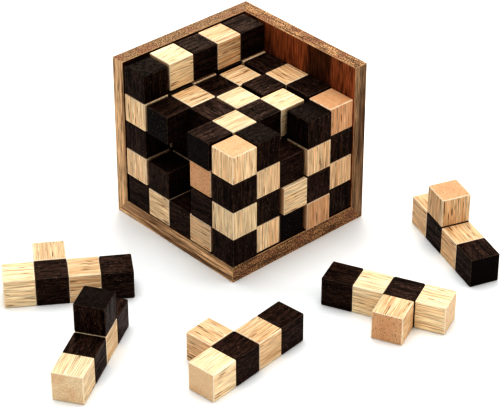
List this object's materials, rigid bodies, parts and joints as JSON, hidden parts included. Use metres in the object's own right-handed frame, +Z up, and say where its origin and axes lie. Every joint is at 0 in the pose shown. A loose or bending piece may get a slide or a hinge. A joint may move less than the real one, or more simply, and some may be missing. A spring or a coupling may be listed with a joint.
{
  "type": "chess-pattern packing puzzle",
  "caption": "Cube packing puzzle: Y-shaped five-cube pieces in two woods that fill a three-panel corner tray, partly unpacked.",
  "frame": {"origin": "centre of the tray floor's underside, on the surface that the tray stands on", "axes": "+Z up; +X out through the right wall; +Y out through the left wall; the tray is open towards -X, -Y and +Z"},
  "size_m": [0.3044, 0.2383, 0.1141],
  "materials": {
    "tray_wood": "reddish-brown hardwood boards, mitred, oiled satin",
    "light_wood": "pale yellow to tan hardwood with fine short dark pores, smooth satin",
    "dark_wood": "near-black brown hardwood with fine pores, smooth satin"
  },
  "bodies": {
    "tray": {"tray_floor": "tray_wood", "tray_left_wall": "tray_wood", "tray_right_wall": "tray_wood"},
    "piece_01": {"piece_01_dark": "dark_wood", "piece_01_light": "light_wood"},
    "piece_02": {"piece_02_dark": "dark_wood", "piece_02_light": "light_wood"},
    "piece_03": {"piece_03_dark": "dark_wood", "piece_03_light": "light_wood"},
    "piece_04": {"piece_04_dark": "dark_wood", "piece_04_light": "light_wood"},
    "piece_05": {"piece_05_dark": "dark_wood", "piece_05_light": "light_wood"},
    "piece_06": {"piece_06_dark": "dark_wood", "piece_06_light": "light_wood"},
    "piece_07": {"piece_07_dark": "dark_wood", "piece_07_light": "light_wood"},
    "piece_08": {"piece_08_dark": "dark_wood", "piece_08_light": "light_wood"},
    "piece_09": {"piece_09_dark": "dark_wood", "piece_09_light": "light_wood"},
    "piece_10": {"piece_10_dark": "dark_wood", "piece_10_light": "light_wood"},
    "piece_11": {"piece_11_dark": "dark_wood", "piece_11_light": "light_wood"},
    "piece_12": {"piece_12_dark": "dark_wood", "piece_12_light": "light_wood"},
    "piece_13": {"piece_13_dark": "dark_wood", "piece_13_light": "light_wood"},
    "piece_14": {"piece_14_dark": "dark_wood", "piece_14_light": "light_wood"},
    "piece_15": {"piece_15_dark": "dark_wood", "piece_15_light": "light_wood"},
    "piece_16": {"piece_16_dark": "dark_wood", "piece_16_light": "light_wood"},
    "piece_17": {"piece_17_dark": "dark_wood", "piece_17_light": "light_wood"},
    "piece_18": {"piece_18_dark": "dark_wood", "piece_18_light": "light_wood"},
    "piece_19": {"piece_19_dark": "dark_wood", "piece_19_light": "light_wood"},
    "piece_20": {"piece_20_dark": "dark_wood", "piece_20_light": "light_wood"},
    "piece_21": {"piece_21_dark": "dark_wood", "piece_21_light": "light_wood"},
    "piece_22": {"piece_22_dark": "dark_wood", "piece_22_light": "light_wood"},
    "piece_23": {"piece_23_dark": "dark_wood", "piece_23_light": "light_wood"},
    "piece_24": {"piece_24_dark": "dark_wood", "piece_24_light": "light_wood"},
    "piece_25": {"piece_25_dark": "dark_wood", "piece_25_light": "light_wood"}
  },
  "joints": [
    {"name": "piece_01_slide", "type": "slide", "parent": "tray", "child": "piece_01", "axis": [-1, 0, 0], "range_m": [0, 0.023]},
    {"name": "piece_02_slide", "type": "slide", "parent": "piece_11", "child": "piece_02", "axis": [-1, 0, 0], "range_m": [0, 0.044]},
    {"name": "piece_03_slide", "type": "slide", "parent": "piece_13", "child": "piece_03", "axis": [0, 0, 1], "range_m": [0, 0.044]},
    {"name": "piece_04_slide", "type": "slide", "parent": "piece_09", "child": "piece_04", "axis": [0, 0, 1], "range_m": [0, 0.066]},
    {"name": "piece_05_slide", "type": "slide", "parent": "piece_19", "child": "piece_05", "axis": [0, 0, 1], "range_m": [0, 0.106]},
    {"name": "piece_06_slide", "type": "slide", "parent": "piece_07", "child": "piece_06", "axis": [0, 0, 1], "range_m": [0, 0.046]},
    {"name": "piece_07_slide", "type": "slide", "parent": "piece_17", "child": "piece_07", "axis": [0, 0, 1], "range_m": [0, 0.086]},
    {"name": "piece_08_slide", "type": "slide", "parent": "piece_19", "child": "piece_08", "axis": [0, -1, 0], "range_m": [0, 0.022]},
    {"name": "piece_09_slide", "type": "slide", "parent": "piece_14", "child": "piece_09", "axis": [0, 0, 1], "range_m": [0, 0.086]},
    {"name": "piece_10_slide", "type": "slide", "parent": "tray", "child": "piece_10", "axis": [-1, 0, 0], "range_m": [0, 0.024]},
    {"name": "piece_11_slide", "type": "slide", "parent": "piece_09", "child": "piece_11", "axis": [-1, 0, 0], "range_m": [0, 0.104]},
    {"name": "piece_12_slide", "type": "slide", "parent": "piece_20", "child": "piece_12", "axis": [0, 0, 1], "range_m": [0, 0.106]},
    {"name": "piece_13_slide", "type": "slide", "parent": "piece_17", "child": "piece_13", "axis": [0, 0, 1], "range_m": [0, 0.045]},
    {"name": "piece_14_slide", "type": "slide", "parent": "piece_16", "child": "piece_14", "axis": [0, 0, 1], "range_m": [0, 0.086]},
    {"name": "piece_15_slide", "type": "slide", "parent": "piece_19", "child": "piece_15", "axis": [0, -1, 0], "range_m": [0, 0.044]},
    {"name": "piece_16_slide", "type": "slide", "parent": "piece_12", "child": "piece_16", "axis": [0, 0, 1], "range_m": [0, 0.106]},
    {"name": "piece_17_slide", "type": "slide", "parent": "piece_09", "child": "piece_17", "axis": [0, 0, 1], "range_m": [0, 0.086]},
    {"name": "piece_18_slide", "type": "slide", "parent": "tray", "child": "piece_18", "axis": [0, 0, 1], "range_m": [0, 0.106]},
    {"name": "piece_19_slide", "type": "slide", "parent": "piece_16", "child": "piece_19", "axis": [0, -1, 0], "range_m": [0, 0.044]},
    {"name": "piece_20_slide", "type": "slide", "parent": "piece_18", "child": "piece_20", "axis": [0, 0, 1], "range_m": [0, 0.106]},
    {"name": "piece_21_lift", "type": "slide", "parent": "tray", "child": "piece_21", "axis": [0, 0, 1], "range_m": [0, 0.06]},
    {"name": "piece_22_lift", "type": "slide", "parent": "tray", "child": "piece_22", "axis": [0, 0, 1], "range_m": [0, 0.06]},
    {"name": "piece_23_lift", "type": "slide", "parent": "tray", "child": "piece_23", "axis": [0, 0, 1], "range_m": [0, 0.06]},
    {"name": "piece_24_lift", "type": "slide", "parent": "tray", "child": "piece_24", "axis": [0, 0, 1], "range_m": [0, 0.06]},
    {"name": "piece_25_lift", "type": "slide", "parent": "tray", "child": "piece_25", "axis": [0, 0, 1], "range_m": [0, 0.06]}
  ]
}
